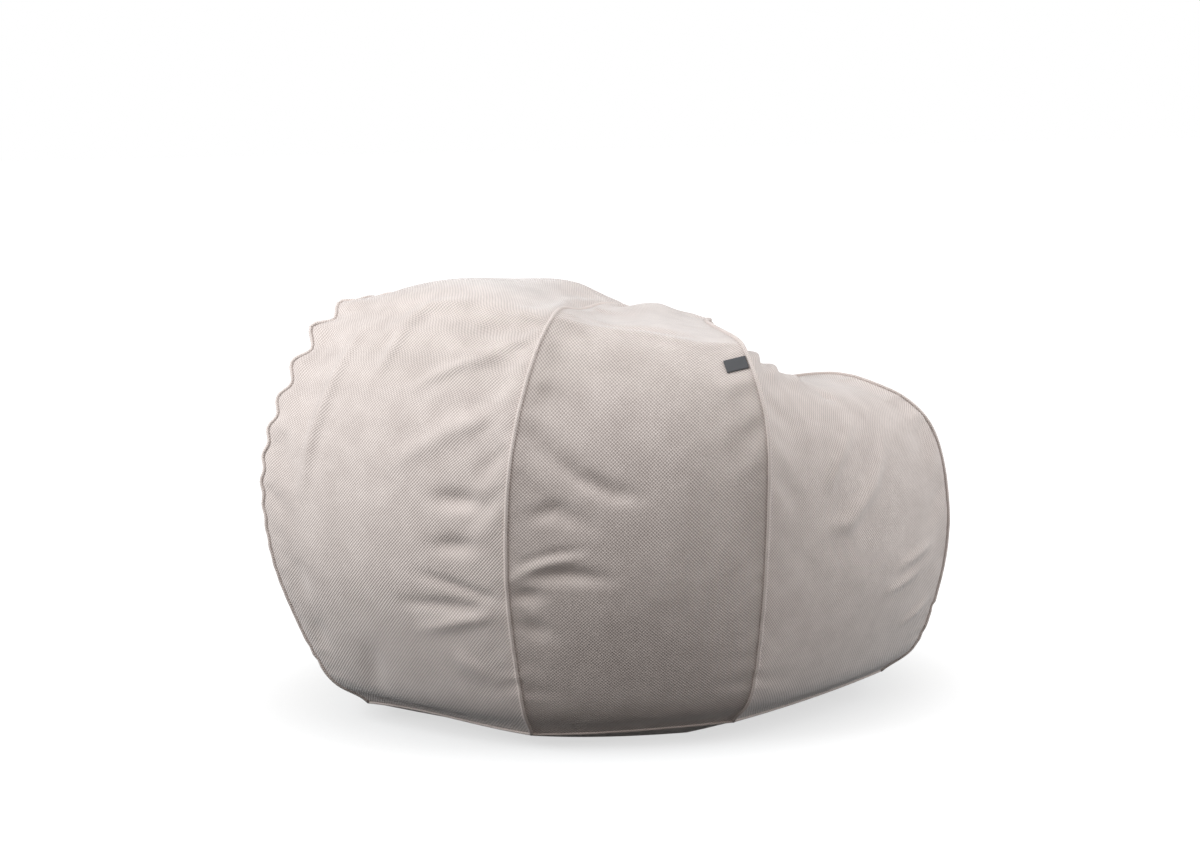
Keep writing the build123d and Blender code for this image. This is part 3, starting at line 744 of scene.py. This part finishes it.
# The bag's own floor stands up a little along the middle, to leave room for the zip.
ZIP_HUMP, ZIP_HUMP_WIDTH = 0.0015, 0.014
floor_rows = toward(inner_foot, inner_foot.mean(axis=0), [1.0, 0.85, 0.5, 0.0])
floor_rows[:, :, 2] += ZIP_HUMP * np.exp(-((floor_rows[:, :, 1] / ZIP_HUMP_WIDTH) ** 2))
cap_rows = toward(skin[-1], skin[-1].mean(axis=0), [0.35, 0.7, 1.0])
bag = np.concatenate([floor_rows, beside_hem(0.006, 0.006)[None], skin, cap_rows])
print("rows from the floor to the cap:", len(bag))

# %% Cover mesh
def bag_uv():
    """UV of every quad corner in metres: x across the panel from its middle, y up it, x turned round on
    every other panel so that the weave leans both ways."""
    panels = by_panel(bag)
    steps = np.linalg.norm(np.diff(panels, axis=2), axis=3)
    x = np.concatenate([np.zeros(steps.shape[:2] + (1,)), np.cumsum(steps, axis=2)], axis=2)
    x = (x - x[:, :, -1:] / 2) * np.where(np.arange(8) % 2, 1, -1)[None, :, None]
    rise = np.linalg.norm(np.diff(panels.mean(axis=2), axis=0), axis=2)
    y = np.concatenate([np.zeros((1, 8)), np.cumsum(rise, axis=0)])[:, :, None] * np.ones_like(x)
    grid = np.stack([x, y], axis=-1)
    low, high = grid[:-1], grid[1:]
    corners = [high[:, :, :-1], high[:, :, 1:], low[:, :, 1:], low[:, :, :-1]]
    return np.stack(corners, axis=-2).reshape(-1, 2)


def close_poles(obj):
    """Joins the points that lie on each other, which turns a row drawn to a point into a closed pole."""
    work = bmesh.new()
    work.from_mesh(obj.data)
    bmesh.ops.remove_doubles(work, verts=work.verts, dist=1e-6)
    work.to_mesh(obj.data)
    work.free()


def round_piece(name, grid, material, uv=None):
    """Closed mesh of a grid that goes round the bag."""
    obj = make_mesh(name, grid, quads(*grid.shape[:2], True)[:, ::-1], material, uv)
    close_poles(obj)
    return obj


cover_piece = round_piece("bag_cover", bag, cover_cloth, bag_uv())
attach(cover_piece, "bag")
PANEL_PLACES = ["front", "front_side", "rear_side", "back"]
panel_nodes = [f"cover_panel_{place}_{hand}" for place in PANEL_PLACES for hand in ("right", "left")]
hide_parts("top_cap", *panel_nodes)
print("cover faces", len(cover_piece.data.polygons))

# %% [markdown]
# ## Welts
# Each seam is a raised welt: the cloth of both panels is folded outward, closed by a line of stitches
# and left standing as a rounded ridge, about five millimetres wide. A profile is carried along the
# seam, leaning on the cloth's own normals, because a bevelled curve would twist on its way over the
# crest. The stitches draw the ridge in, a few millimetres apart.

# %% Welt material
WELT_ROUND = 0.015


def stitched_material(name, dark, light):
    """Folded cloth with a stitch line along each foot of the ridge. UV x runs round the profile and y along
    the seam, both in metres: dimples are a sine along y, kept to the feet."""
    material = cloth_material(name, dark, light, 0.0036, 0.0005, 0.35)
    tree = material.node_tree
    place = node(tree, "ShaderNodeTexCoord")
    parts = node(tree, "ShaderNodeSeparateXYZ")
    tree.links.new(place.outputs["UV"], parts.inputs[0])
    side = math(tree, "ABSOLUTE", math(tree, "SUBTRACT", parts.outputs[0], WELT_ROUND / 2))
    foot = math(tree, "GREATER_THAN", side, WELT_ROUND * 0.18)
    dimple = math(tree, "SINE", math(tree, "MULTIPLY", parts.outputs[1], 2 * np.pi / 0.0042))
    stitch = math(tree, "MULTIPLY", math(tree, "MAXIMUM", dimple, 0.0), foot)
    bump = next(n for n in tree.nodes if n.type == "BUMP")
    cloth_height = bump.inputs["Height"].links[0].from_socket
    tree.links.new(math(tree, "SUBTRACT", cloth_height, stitch), bump.inputs["Height"])
    return material


# The welt is folded cover cloth, but both its colours are lighter than the cover's: painted light on the
# raised ridges.
welt_cloth_painted_light = stitched_material("stitched welt", (0.53, 0.455, 0.42), (0.83, 0.735, 0.69))
print("welt cloth:", welt_cloth_painted_light.name)

# %% Welt profile
WELT_HALF, WELT_HIGH, WELT_SUNK = 0.0027, 0.0034, 0.002


def ridge_profile(count):
    """Closed profile of a ridge in (across, outward): an oval whose top is rounder than its foot."""
    t = np.linspace(0, 2 * np.pi, count, endpoint=False) - np.pi / 2
    across = WELT_HALF * np.sign(np.cos(t)) * np.abs(np.cos(t)) ** 0.8
    out = (WELT_HIGH + WELT_SUNK) / 2 * np.sin(t) + (WELT_HIGH - WELT_SUNK) / 2
    return np.stack([across, out], axis=1)


def ridge_along(path, out, profile, closed):
    """Grid of a profile carried along a path: path + across * x + out * y, across being square to both
    the path's run and the outward way."""
    run = np.gradient(path, axis=0)
    if closed:
        run = np.roll(path, -1, axis=0) - np.roll(path, 1, axis=0)
    across = unit(np.cross(out, unit(run)))
    return path[:, None] + across[:, None] * profile[None, :, :1] + out[:, None] * profile[None, :, 1:]


print("welt", 2000 * WELT_HALF, "mm wide and", 1000 * WELT_HIGH, "mm high")

# %% Welts along the seams
def ridge_piece(name, path, out, closed=False, profile=None):
    """Mesh of a ridge with a UV map in metres: x round the profile, y along the path."""
    profile = ridge_profile(12) if profile is None else profile
    grid = ridge_along(path, out, profile, closed)
    length = np.concatenate([[0], np.cumsum(np.linalg.norm(np.diff(path, axis=0), axis=1))])
    if closed:
        grid = np.concatenate([grid, grid[:1]])
        length = np.concatenate([length, [length[-1] + np.linalg.norm(path[0] - path[-1])]])
    else:
        low, high = (np.broadcast_to(row.mean(axis=0), row.shape)[None] for row in (grid[0], grid[-1]))
        grid = np.concatenate([low, grid, high])
        length = np.concatenate([length[:1], length, length[-1:]])
    rows, columns = grid.shape[:2]
    x = np.arange(columns) / columns * WELT_ROUND
    ring = [(0, 0.0), (1, 0.0), (1, WELT_ROUND / columns), (0, WELT_ROUND / columns)]
    corners = [
        np.stack(np.broadcast_arrays(x[None] + step, np.roll(length, -up)[:-1, None]), axis=-1)
        for up, step in ring
    ]
    uv = np.stack(corners, axis=-2).reshape(-1, 2)
    faces = quads(rows, columns, True)[:, [0, 3, 2, 1]]
    obj = make_mesh(name, grid, faces, welt_cloth_painted_light, uv)
    close_poles(obj)
    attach(obj, "bag")
    return obj


SEAM_NODES = ["front_centre", "front_right", "side_right", "rear_right", "back_centre"]
SEAM_NODES += ["rear_left", "side_left", "front_left"]
skin_normals = normals_of(skin, True)
welt_pieces = []
for number, seam_name in enumerate(SEAM_NODES):
    column = number * per_panel
    welt = ridge_piece(f"welt_{seam_name}", skin[:, column], skin_normals[:, column])
    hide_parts(f"seam_welt_{seam_name}")
    welt_pieces.append(welt)
hem = ridge_piece("welt_hem", skin[0], skin_normals[1], closed=True, profile=ridge_profile(12) * 0.75)
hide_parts("hem_welt")
cap_ring = ridge_piece("welt_cap", skin[-1], skin_normals[-2], closed=True, profile=ridge_profile(12) * 0.6)
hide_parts("cap_welt")
print(len(welt_pieces) + 2, "welts")

# %% [markdown]
# ## Base
# Under the bag are two halves of base cloth with the zip between them. A flat disc with a slot cut in it
# would leave a ragged edge, so each half is drawn as ribs from the zip's edge straight out to the edge
# of the patch on the floor, and on up to the hem.

# %% Ribs of the base
ZIP_REAR, ZIP_FRONT, ZIP_SLOT = -0.255 + CENTRE_SHIFT, 0.235 + CENTRE_SHIFT, 0.0065


def base_half(side, line_y, slot, span, shrink, z, rim):
    """Grid of half a base: rows from the zip's edge, at y = line_y, to the foot outline at the same x,
    then up to the rim. Beside the zip the edge stands back by the slot's half width. Near the front and
    the back, where the outline is narrower than line_y, the edge goes only as far as the outline does."""
    foot = foot_ring(per_panel, shrink, z)
    half = slice(0, 4 * per_panel + 1) if side < 0 else slice(4 * per_panel, 8 * per_panel + 1)
    foot, rim = (np.concatenate([ring, ring[:1]])[half] for ring in (foot, rim))
    beside = (foot[:, 0] > span[0]) & (foot[:, 0] < span[1])
    edge = foot.copy()
    edge[:, 1] = np.minimum(line_y, np.abs(foot[:, 1])) + side * np.where(beside, slot, 0.0003)
    edge[:, 1] = np.where(side * (foot[:, 1] - edge[:, 1]) > 0, edge[:, 1], foot[:, 1])
    flat = [edge * (1 - s) + foot * s for s in (0, 0.02, 0.1, 0.25, 0.5, 0.75, 0.9, 1)]
    rise = [foot * (1 - s) + rim * s for s in (0.1, 0.3, 0.6, 0.8, 1)]
    return np.stack(flat + rise)


base_rim = beside_hem(0.0026, -0.0016)
base_grids = {
    hand: base_half(side, 0.0, ZIP_SLOT, (ZIP_REAR, ZIP_FRONT), 0.0, 0.0, base_rim)
    for side, hand in ((-1, "right"), (1, "left"))
}
print("ribs and rows of a base half:", base_grids["right"].shape[1::-1])

# %% Base halves
def flat_uv(grid):
    """UV straight down from above, in metres, for every quad corner in the order of base_piece."""
    g = grid[:, :, :2]
    corners = [g[:-1, :-1], g[1:, :-1], g[1:, 1:], g[:-1, 1:]]
    return np.stack(corners, axis=-2).reshape(-1, 2)


def base_piece(name, grids, material, thickness):
    """Cloth of one or more grids, thickened upward from the face that lies below."""
    points = np.concatenate([g.reshape(-1, 3) for g in grids])
    faces, uvs, first = [], [], 0
    for g in grids:
        faces.append(quads(g.shape[0], g.shape[1], False, first)[:, [0, 3, 2, 1]])
        uvs.append(flat_uv(g))
        first += g.shape[0] * g.shape[1]
    obj = make_mesh(name, points, np.concatenate(faces), material, np.concatenate(uvs))
    close_poles(obj)
    work = bmesh.new()
    work.from_mesh(obj.data)
    bmesh.ops.recalc_face_normals(work, faces=work.faces)
    if sum(f.normal.z * f.calc_area() for f in work.faces) > 0:
        bmesh.ops.reverse_faces(work, faces=work.faces)
    work.to_mesh(obj.data)
    work.free()
    thick = obj.modifiers.new("thickness", "SOLIDIFY")
    thick.thickness, thick.offset = thickness, -1
    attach(obj, "bag")
    return obj


for hand, grid in base_grids.items():
    half_base = base_piece(f"base_cloth_{hand}", [grid], cover_cloth, 0.0028)
    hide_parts(f"base_panel_{hand}")
print("base halves made")

# %% [markdown]
# ## Liner and beads
# Inside the cover is a thin white liner with its own zip, and inside that are the beads. They are never
# seen, but they are there. The liner could be simulated against the cover, but it only lines it, so it
# is the cover's shape again, drawn in along the normals. The beads are the same once more, as one form
# with a grain of small round bumps, because millions of loose balls would be too many to draw.

# %% Liner
LINING_DARK, LINING_LIGHT = (0.70, 0.70, 0.69), (0.84, 0.84, 0.83)
liner_cloth = cloth_material("white lining", LINING_DARK, LINING_LIGHT, 0.0016, 0.0001, 0.1, from_uv=False)


def drawn_in(depth, step):
    """Every step-th row and column of the settled cover, drawn in along the normals by a depth."""
    grid = settled[::step, ::step]
    return grid - normals_of(grid, True) * depth


LINER_FLOOR, LINER_LINE, LINER_SPAN = 0.007, 0.12, (-0.2 + CENTRE_SHIFT, 0.16 + CENTRE_SHIFT)
liner_skin = drawn_in(0.010, 2)
liner_skin[0] += [0, 0, 0.003]
liner_cap = toward(liner_skin[-1], liner_skin[-1].mean(axis=0), [0.5, 1.0])
liner_grid = np.concatenate([liner_skin, liner_cap])
liner_body = round_piece("liner_bag", liner_grid, liner_cloth)
lining = liner_body.modifiers.new("thickness", "SOLIDIFY")
lining.thickness, lining.offset = 0.0008, -1
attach(liner_body, "bag")
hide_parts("liner_body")
liner_rim = beside_hem(0.007, 0.0045)
halves = [base_half(side, LINER_LINE, 0.006, LINER_SPAN, 0.006, LINER_FLOOR, liner_rim) for side in (-1, 1)]
liner_base = base_piece("liner_base_cloth", halves, liner_cloth, 0.0009)
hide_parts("liner_base")
print("liner with", len(liner_body.data.polygons), "faces, its base with", len(liner_base.data.polygons))

# %% Beads
def bead_material():
    """Loose white beads: a cell pattern a few millimetres across rounds each bead and darkens the gaps
    between beads, as painted shade.
    """
    material, tree, shader = new_material("white beads")
    place = node(tree, "ShaderNodeTexCoord")
    cells = node(tree, "ShaderNodeTexVoronoi")
    cells.inputs["Scale"].default_value = 220.0
    tree.links.new(place.outputs["Object"], cells.inputs["Vector"])
    near = math(tree, "SUBTRACT", 1.0, cells.outputs["Distance"])
    # Dark where the beads meet: painted shade between the white beads.
    colour = mix_colours(tree, near, (0.45, 0.45, 0.44), (0.92, 0.92, 0.91))
    tree.links.new(colour, shader.inputs["Base Color"])
    bump = node(tree, "ShaderNodeBump")
    bump.inputs["Distance"].default_value = 0.002
    tree.links.new(near, bump.inputs["Height"])
    tree.links.new(bump.outputs["Normal"], shader.inputs["Normal"])
    shader.inputs["Roughness"].default_value = 0.7
    return material


bead_skin = drawn_in(0.016, 2)
bead_foot = foot_ring(bead_skin.shape[1] // 8, 0.012, 0.0125)
bead_rows = [toward(bead_foot, bead_foot.mean(axis=0), [1.0, 0.8, 0.4, 0.0]), bead_skin]
bead_rows.append(toward(bead_skin[-1], bead_skin[-1].mean(axis=0), [0.5, 1.0]))
bead_grid = np.concatenate(bead_rows)
beads = round_piece("bead_filling", bead_grid, bead_material())
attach(beads, "bag")
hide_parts("bead_fill")
print("beads with", len(beads.data.polygons), "faces")

# %% [markdown]
# ## Label
# A dark woven tag is caught in the side seam near the top of the bag's right arm. It is a strip folded
# in two, so the outer end is a soft fold and both cut ends are sewn in. It lies on the rear side panel,
# and turns about its sewn edge. A plain box would show no fold, so the strip itself is drawn, out along
# one ply and back along the other.

# %% Close weave
def small_weave(name, dark, light, scale):
    """Close-woven tape or tag: two sets of fine ribs from Object coordinates as colour and bump, on a
    slow noise. The ribs' low places are darker, as painted shade."""
    material, tree, shader = new_material(name)
    place = node(tree, "ShaderNodeTexCoord")
    made = node(tree, "ShaderNodeGroup", node_tree=weave)
    made.inputs["Pitch"].default_value = scale
    tree.links.new(place.outputs["Object"], made.inputs["Position"])
    nap, ribs = (math(tree, "MULTIPLY", made.outputs[which], 0.5) for which in ("Nap", "Height"))
    # Half the colour follows the ribs' height, so their low places carry painted shade.
    share = math(tree, "ADD", nap, ribs)
    tree.links.new(mix_colours(tree, share, dark, light), shader.inputs["Base Color"])
    bump = node(tree, "ShaderNodeBump")
    bump.inputs["Distance"].default_value = scale / 8
    tree.links.new(made.outputs["Height"], bump.inputs["Height"])
    tree.links.new(bump.outputs["Normal"], shader.inputs["Normal"])
    shader.inputs["Roughness"].default_value = 0.7
    return material


tag_cloth = small_weave("charcoal tag", (0.045, 0.045, 0.048), (0.09, 0.09, 0.095), 0.0012)
print("label cloth:", tag_cloth.name)

# %% Label
PLY, PLY_APART = 0.0005, 0.00045


def folded_strip(steps, across):
    """Strip from the sewn edge out along the lower ply, round the fold as a half circle, and back along
    the upper ply. Rows follow the strip and columns its width."""
    out = np.linspace(0, LABEL_LENGTH - PLY_APART, steps)
    turn = np.linspace(-np.pi / 2, np.pi / 2, 9)[1:-1]
    x = np.concatenate([out, out[-1] + PLY_APART * np.cos(turn), out[::-1]])
    y = np.concatenate([out * 0 - PLY_APART, PLY_APART * np.sin(turn), out * 0 + PLY_APART])
    v = np.linspace(-LABEL_WIDTH / 2, LABEL_WIDTH / 2, across)
    point = hinge + x[:, None, None] * label_along + y[:, None, None] * label_out
    return point + v[None, :, None] * hinge_axis


label_grid = folded_strip(14, 9)
label_tag = make_mesh("label", label_grid, quads(*label_grid.shape[:2], False), tag_cloth)
ply = label_tag.modifiers.new("thickness", "SOLIDIFY")
ply.thickness, ply.offset = PLY, 0
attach(label_tag, "label")
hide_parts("label_tag")
print("label", label_grid.min((0, 1)).round(3), label_grid.max((0, 1)).round(3))

# %% [markdown]
# ## Zips
# Each zip is two woven tapes with moulded teeth, a metal slider and stops. Their teeth have to fit, so
# they aren't drawn again: the CAD solids stay and only get a finish.

# %% Zips
def brushed_metal(name, dark, light):
    """Metal with fine scratches: noise stretched along one way moves the colour and the roughness."""
    material, tree, shader = new_material(name)
    place = node(tree, "ShaderNodeTexCoord")
    stretch = node(tree, "ShaderNodeMapping")
    stretch.inputs["Scale"].default_value = (40, 900, 900)
    grain = node(tree, "ShaderNodeTexNoise")
    tree.links.new(place.outputs["Object"], stretch.inputs["Vector"])
    tree.links.new(stretch.outputs["Vector"], grain.inputs["Vector"])
    tree.links.new(mix_colours(tree, grain.outputs["Fac"], dark, light), shader.inputs["Base Color"])
    tree.links.new(math(tree, "MULTIPLY_ADD", grain.outputs["Fac"], 0.25, 0.25), shader.inputs["Roughness"])
    shader.inputs["Metallic"].default_value = 1.0
    return material


zip_finish = {
    "tape": small_weave("zip tape", (0.32, 0.29, 0.27), (0.46, 0.42, 0.40), 0.001),
    "teeth": small_weave("zip teeth", (0.36, 0.33, 0.31), (0.44, 0.41, 0.39), 0.004),
    "slider": brushed_metal("zip metal", (0.42, 0.42, 0.43), (0.62, 0.62, 0.63)),
}
zip_finish["stops"] = zip_finish["slider"]
for node_name, cad in frame["nodes"].items():
    if "_zip_" in node_name:
        cad.data.materials.clear()
        cad.data.materials.append(zip_finish[node_name.split("_")[2]])
print(sum("_zip_" in n for n in frame["nodes"]), "zip nodes finished")

# %% [markdown]
# ## Floor and light
# The photograph is a studio one on white. The floor is a plain pale sheet that takes the bag's shadow.
# For the camera alone it also glows a little, least near the bag and more with distance, so that it
# melts into a white surround without putting more light on the bag. The dip in the glow near the bag
# is a painted shadow, faint and wide, round the bag's foot. The surround lights the bag a little
# warmly and the lamps are a little cool, so that the cloth is greyer where it is bright and browner
# in its shade.

# %% Floor
def seen_directly(tree):
    """1 for rays that come straight from the camera, or through a mirror or glass."""
    path = node(tree, "ShaderNodeLightPath")
    mirror = math(tree, "MAXIMUM", path.outputs["Is Glossy Ray"], path.outputs["Is Transmission Ray"])
    return math(tree, "MAXIMUM", path.outputs["Is Camera Ray"], mirror)


def floor_material():
    """White floor: diffuse, plus a glow that only the camera sees and that grows from the bag outward
    with a smooth step of the distance from the middle. The glow's low start near the bag is a painted
    shadow, faint and wide."""
    material, tree, shader = new_material("studio floor")
    tree.nodes.remove(shader)
    place = node(tree, "ShaderNodeTexCoord")
    oval = node(tree, "ShaderNodeVectorMath", operation="DIVIDE")
    oval.inputs[1].default_value = PAINTED_SHADOW_OVAL
    tree.links.new(place.outputs["Object"], oval.inputs[0])
    length = node(tree, "ShaderNodeVectorMath", operation="LENGTH")
    tree.links.new(oval.outputs["Vector"], length.inputs[0])
    # The glow is lowest at the bag's foot, so there it paints a faint shadow on the floor.
    rise = node(tree, "ShaderNodeMapRange", interpolation_type="SMOOTHSTEP")
    tree.links.new(length.outputs["Value"], rise.inputs["Value"])
    for name, value in zip(("From Min", "From Max", "To Min", "To Max"), FLOOR_GLOW_AND_PAINTED_SHADOW):
        rise.inputs[name].default_value = value
    direct = seen_directly(tree)
    matt, glow = node(tree, "ShaderNodeBsdfDiffuse"), node(tree, "ShaderNodeEmission")
    both = node(tree, "ShaderNodeAddShader")
    shade = math(tree, "MULTIPLY_ADD", direct, FLOOR_SEEN - FLOOR_BOUNCE, FLOOR_BOUNCE)
    speckle = node(tree, "ShaderNodeTexNoise")
    speckle.inputs["Scale"].default_value = 60.0
    tree.links.new(place.outputs["Object"], speckle.inputs["Vector"])
    uneven = math(tree, "MULTIPLY", shade, math(tree, "MULTIPLY_ADD", speckle.outputs["Fac"], 0.02, 0.99))
    tree.links.new(uneven, matt.inputs["Color"])
    tree.links.new(math(tree, "MULTIPLY", rise.outputs["Result"], direct), glow.inputs["Strength"])
    tree.links.new(matt.outputs[0], both.inputs[0])
    tree.links.new(glow.outputs[0], both.inputs[1])
    tree.links.new(both.outputs[0], tree.nodes["Material Output"].inputs["Surface"])
    return material


FLOOR_SEEN, FLOOR_BOUNCE = 0.3, 0.03
# Oval and smooth step of the camera's glow. Its low start round the bag is a painted shadow.
PAINTED_SHADOW_OVAL = (0.44, 0.37, 1.0)
FLOOR_GLOW_AND_PAINTED_SHADOW = (0.93, 2.0, 0.64, 0.95)
FLOOR_HALF = 20.0
corners = np.array([[-1, -1, 0], [1, -1, 0], [1, 1, 0], [-1, 1, 0]]) * FLOOR_HALF - [0, 0, 0.0004]
floor = make_mesh("floor", corners, [[0, 1, 2, 3]], floor_material())
print("floor", FLOOR_HALF * 2, "m wide")

# %% Surround
world = bpy.data.worlds.new("studio")
bpy.context.scene.world = world
world.use_nodes = True
surround = world.node_tree.nodes["Background"]
WORLD_LIGHT, WORLD_WARM = 0.52, (1.05, 0.99, 0.955)
shown = seen_directly(world.node_tree)
tint = mix_colours(world.node_tree, shown, WORLD_WARM, (1, 1, 1))
world.node_tree.links.new(tint, surround.inputs["Color"])
brightness = math(world.node_tree, "MULTIPLY_ADD", shown, 1 - WORLD_LIGHT, WORLD_LIGHT)
world.node_tree.links.new(brightness, surround.inputs["Strength"])
print("surround lights the bag at", WORLD_LIGHT)

# %% Lights
def softbox(name, place, target, size, power, colour):
    """Square area light at a place, turned to face a target."""
    data = bpy.data.lights.new(name, "AREA")
    data.size, data.energy, data.color = size, power, colour
    lamp = bpy.data.objects.new(name, data)
    bpy.context.scene.collection.objects.link(lamp)
    lamp.location = place
    lamp.rotation_euler = (Vector(target) - Vector(place)).to_track_quat("-Z", "Y").to_euler()
    return lamp


def from_camera(right, up, near):
    """A place given as seen in the picture: metres to the right, up and towards the camera."""
    level_back = unit(toward_camera * [1, 1, 0])
    return to_right * right + np.array([0, 0, up]) + level_back * near


BAG_MIDDLE = (0.0, 0.0, 0.3)
COOL_WHITE, SKY_WHITE = (0.93, 0.975, 1.0), (0.82, 0.93, 1.0)
softbox("key from the left", from_camera(-2.3, 1.7, 1.3), BAG_MIDDLE, 2.2, 79, COOL_WHITE)
softbox("overhead", from_camera(0.4, 3.2, 1.2), BAG_MIDDLE, 3.0, 23, SKY_WHITE)
softbox("side light from the right", from_camera(2.6, 1.5, 0.6), BAG_MIDDLE, 2.0, 48, COOL_WHITE)
bpy.context.scene.view_settings.view_transform = "Standard"
